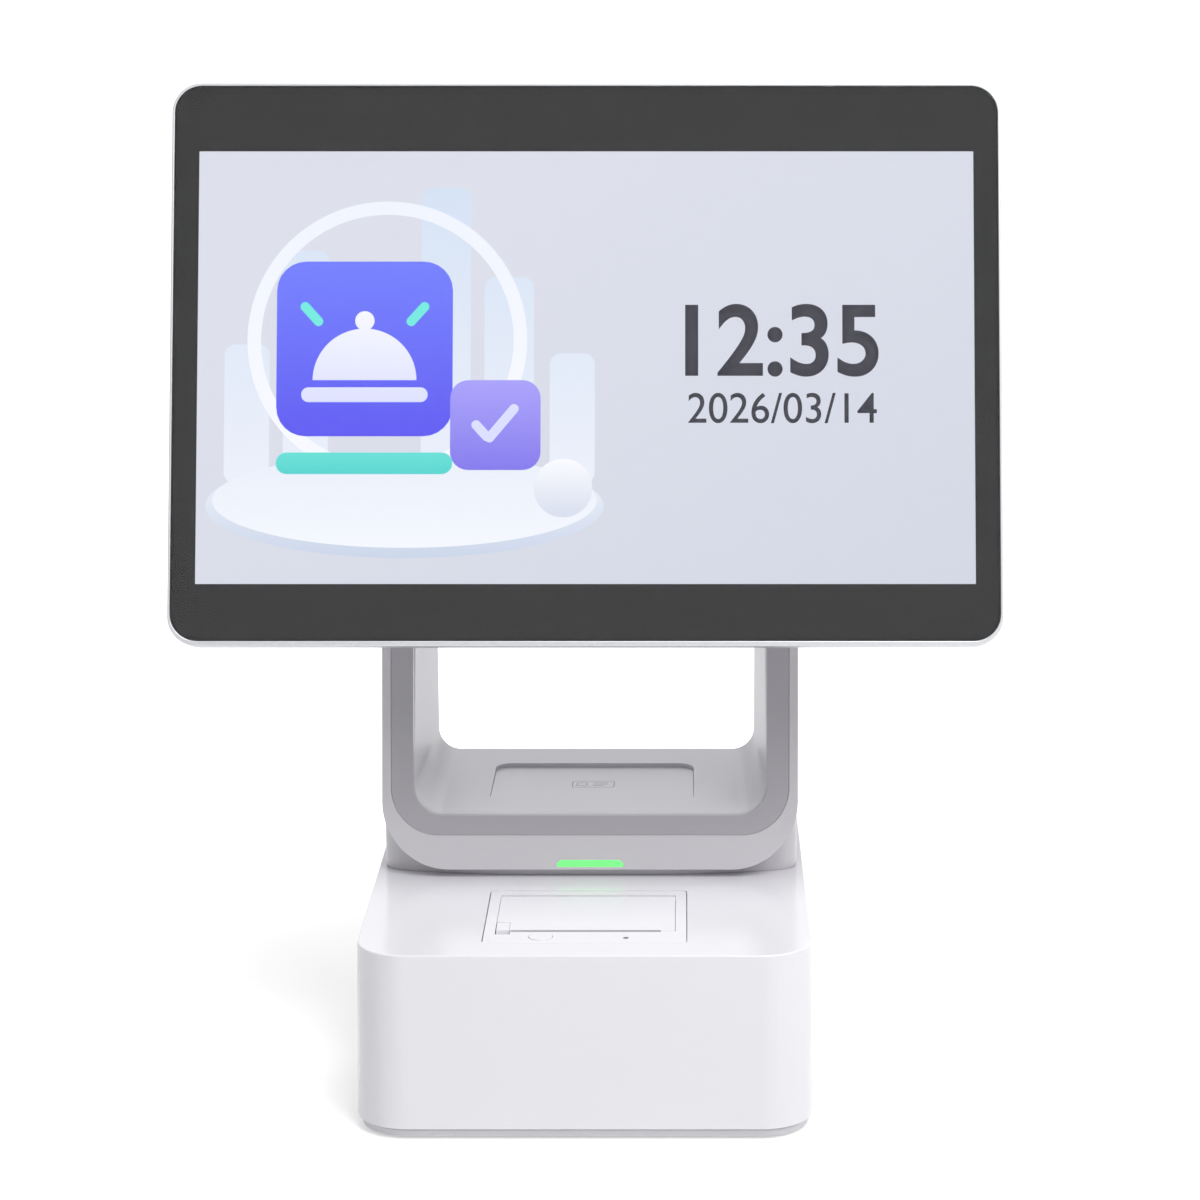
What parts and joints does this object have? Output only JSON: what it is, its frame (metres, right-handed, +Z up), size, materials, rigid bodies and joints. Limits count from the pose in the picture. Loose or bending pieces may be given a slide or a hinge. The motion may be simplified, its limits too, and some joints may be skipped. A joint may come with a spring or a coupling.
{
  "type": "visitor management terminal",
  "caption": "Counter terminal: tilting touch screen on an arch with a card reading floor, over a square base with a receipt printer, paper door, feed button and power button.",
  "frame": {"origin": "on the table under the middle of the base", "axes": "+X to the right seen from the front, +Y to the back, +Z up"},
  "size_m": [0.3682, 0.2332, 0.4469],
  "materials": {
    "white_plastic": "fine satin moulding",
    "grey_band": "satin grey moulding",
    "pad_plastic": "fine satin moulding",
    "tray_plastic": "satin moulding",
    "silver_frame": "bead blasted",
    "cover_glass": "polished",
    "black_mask": "printed behind the glass",
    "display": "matt display surface",
    "sheet_steel": "zinc plated sheet",
    "bright_steel": "turned steel",
    "hinge_black": "satin black paint",
    "ballast_iron": "painted",
    "foot_rubber": "moulded",
    "platen_rubber": "ground",
    "black_plastic": "moulded",
    "gear_plastic": "moulded acetal",
    "brass": "turned",
    "circuit_board": "solder mask",
    "light_lens": "lit lens",
    "dark_lens": "unlit lens"
  },
  "bodies": {
    "stand": {"base_cover": "white_plastic", "base_bottom": "tray_plastic", "rubber_feet": "foot_rubber", "base_screws": "bright_steel", "ballast_plate": "ballast_iron", "power_board": "circuit_board", "io_board": "circuit_board", "io_panel": "black_plastic", "dc_jack": "black_plastic", "lan_jack": "bright_steel", "usb_ports": "bright_steel", "power_switch": "black_plastic", "printer_frame": "white_plastic", "door_pin": "bright_steel", "thermal_head": "black_plastic", "head_bracket": "sheet_steel", "tear_bar": "sheet_steel", "motor_bracket": "sheet_steel", "feed_motor": "sheet_steel", "feed_switch": "black_plastic", "printer_board": "circuit_board", "printer_lens": "dark_lens", "arch_shell": "white_plastic", "arch_front": "white_plastic", "arch_band": "grey_band", "tunnel_liner": "white_plastic", "card_pad": "pad_plastic", "card_reader_board": "circuit_board", "status_light": "light_lens", "light_board": "circuit_board", "arch_screws": "bright_steel", "hinge_base": "hinge_black"},
    "screen": {"touch_glass": "cover_glass", "glass_mask": "black_mask", "lcd_panel": "display", "lcd_backplate": "sheet_steel", "screen_bezel": "silver_frame", "screen_rear_cover": "white_plastic", "mainboard": "circuit_board", "speakers": "black_plastic", "cover_screws": "bright_steel", "hinge_leaf": "hinge_black", "hinge_pins": "bright_steel", "hinge_washers": "brass"},
    "door": {"paper_door": "white_plastic", "platen_bushes": "brass", "lever_pin": "bright_steel"},
    "release": {"release_lever": "tray_plastic"},
    "platen": {"platen_roller": "platen_rubber", "platen_shaft": "bright_steel", "platen_gear": "gear_plastic"},
    "idler": {"idler_gear": "gear_plastic"},
    "pinion": {"motor_pinion": "brass"},
    "feed_key": {"feed_button": "white_plastic"},
    "power_key": {"power_button": "silver_frame"}
  },
  "joints": [
    {"name": "screen_tilt", "type": "hinge", "parent": "stand", "child": "screen", "pos_m": [0, 0.02859, 0.31096], "axis": [-1, 0, 0], "range_deg": [-8, 25]},
    {"name": "door_hinge", "type": "hinge", "parent": "stand", "child": "door", "pos_m": [0, -0.03425, 0.0822], "axis": [-1, 0, 0], "range_deg": [0, 100]},
    {"name": "release_hinge", "type": "hinge", "parent": "door", "child": "release", "pos_m": [-0.0364, -0.07165, 0.0833], "axis": [-1, 0, 0], "range_deg": [0, 25], "stiffness_Nm_per_rad": 0.01, "springref_deg": -5.73},
    {"name": "platen_spin", "type": "hinge", "parent": "door", "child": "platen", "pos_m": [0, -0.07545, 0.0752], "axis": [1, 0, 0], "continuous": true},
    {"name": "idler_spin", "type": "hinge", "parent": "stand", "child": "idler", "pos_m": [0.0378, -0.07317, 0.06179], "axis": [1, 0, 0], "continuous": true},
    {"name": "pinion_spin", "type": "hinge", "parent": "stand", "child": "pinion", "pos_m": [0.0378, -0.06707, 0.0524], "axis": [1, 0, 0], "continuous": true},
    {"name": "feed_press", "type": "slide", "parent": "stand", "child": "feed_key", "axis": [0, 0, -1], "range_m": [0, 0.0008], "stiffness_N_per_m": 400, "springref_m": -0.002},
    {"name": "power_press", "type": "slide", "parent": "stand", "child": "power_key", "axis": [0, -1, 0], "range_m": [0, 0.0012], "stiffness_N_per_m": 400, "springref_m": -0.002}
  ],
  "couplings": [
    {"joint": "idler_spin", "follows": "platen_spin", "ratio": -0.8},
    {"joint": "pinion_spin", "follows": "platen_spin", "ratio": 1.6667}
  ]
}
